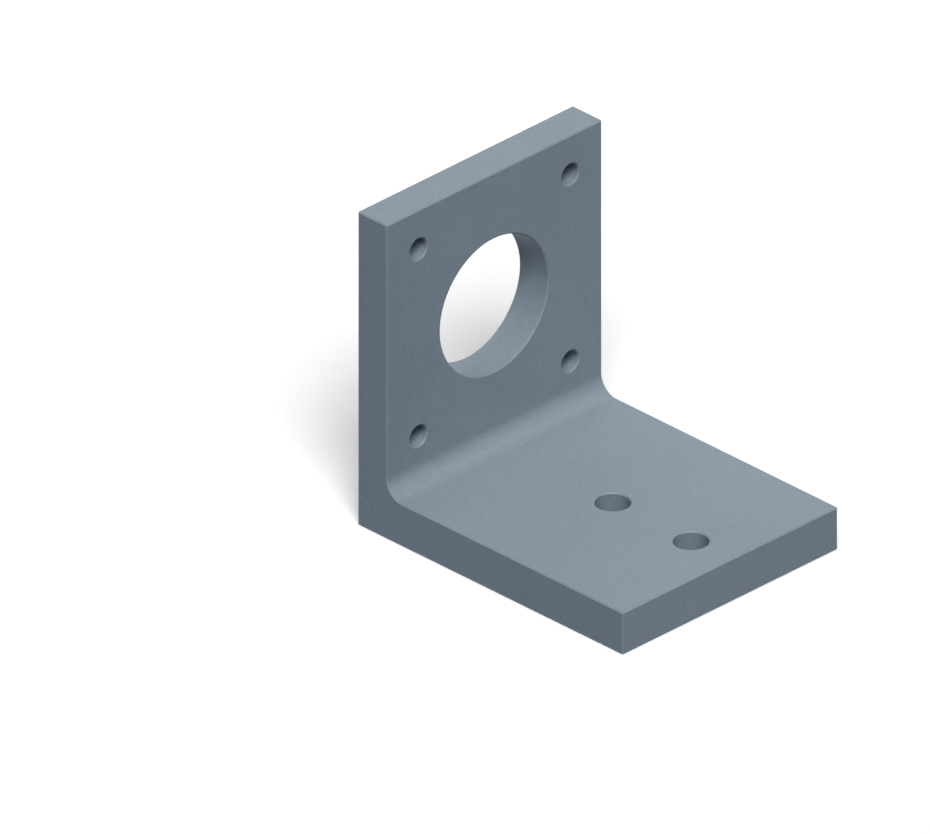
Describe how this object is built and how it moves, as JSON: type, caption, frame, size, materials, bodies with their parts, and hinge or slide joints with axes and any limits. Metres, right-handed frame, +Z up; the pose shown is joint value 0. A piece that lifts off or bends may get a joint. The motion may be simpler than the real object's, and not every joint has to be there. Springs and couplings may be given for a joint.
{
  "type": "motor mounting bracket",
  "caption": "L-shaped aluminium bracket: the upright takes a small motor by its face, with a pilot bore and screw holes, and the foot screws down to a frame.",
  "frame": {"origin": "midway between the foot's screw holes, on the underside of the foot", "axes": "+X towards the foot's free end, +Y across the bracket, +Z up, from the underside towards the top of the upright"},
  "size_m": [0.0542, 0.044, 0.052],
  "materials": {
    "anodised_aluminium": "bead-blasted and anodised blue-grey, matte"
  },
  "bodies": {
    "root": {"bracket": "anodised_aluminium"}
  },
  "joints": []
}
